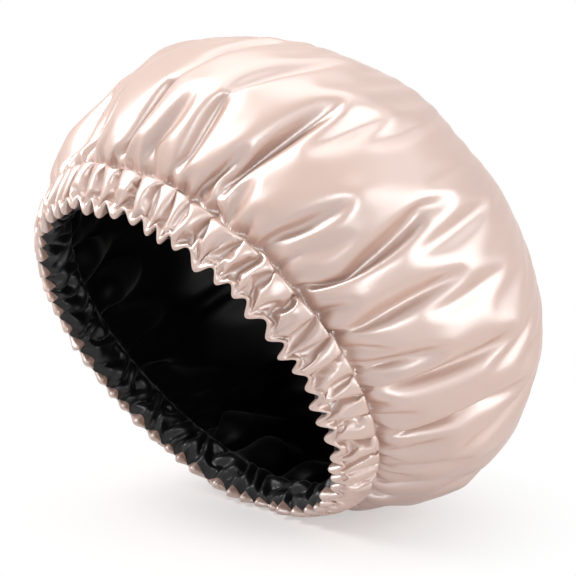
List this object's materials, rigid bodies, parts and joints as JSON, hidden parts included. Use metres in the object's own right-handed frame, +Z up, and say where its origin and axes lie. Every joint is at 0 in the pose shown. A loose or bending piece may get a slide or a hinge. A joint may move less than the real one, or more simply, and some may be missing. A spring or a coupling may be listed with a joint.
{
  "type": "hair bonnet",
  "caption": "Round double-layer satin hair bonnet, gathered into a stitched elastic casing at the rim, lying on its side with the lined opening to the front.",
  "frame": {"origin": "middle of the bonnet's bounding box, on the table it lies on", "axes": "+Z up; the crown points along +Y and up, the opening faces -Y and down, +X to the side"},
  "size_m": [0.254, 0.2146, 0.2256],
  "materials": {
    "outer_satin": "champagne satin with a soft sheen",
    "lining_satin": "black satin",
    "elastic": "woven white elastic",
    "outer_thread": "spun polyester thread",
    "lining_thread": "spun polyester thread"
  },
  "bodies": {
    "root": {"outer_shell": "outer_satin", "lining": "lining_satin", "elastic_band": "elastic", "elastic_join_stitch": "outer_thread", "casing_needle_thread": "outer_thread", "casing_bobbin_thread": "lining_thread", "edge_seam_thread": "outer_thread", "turning_gap_stitch": "outer_thread"}
  },
  "joints": []
}
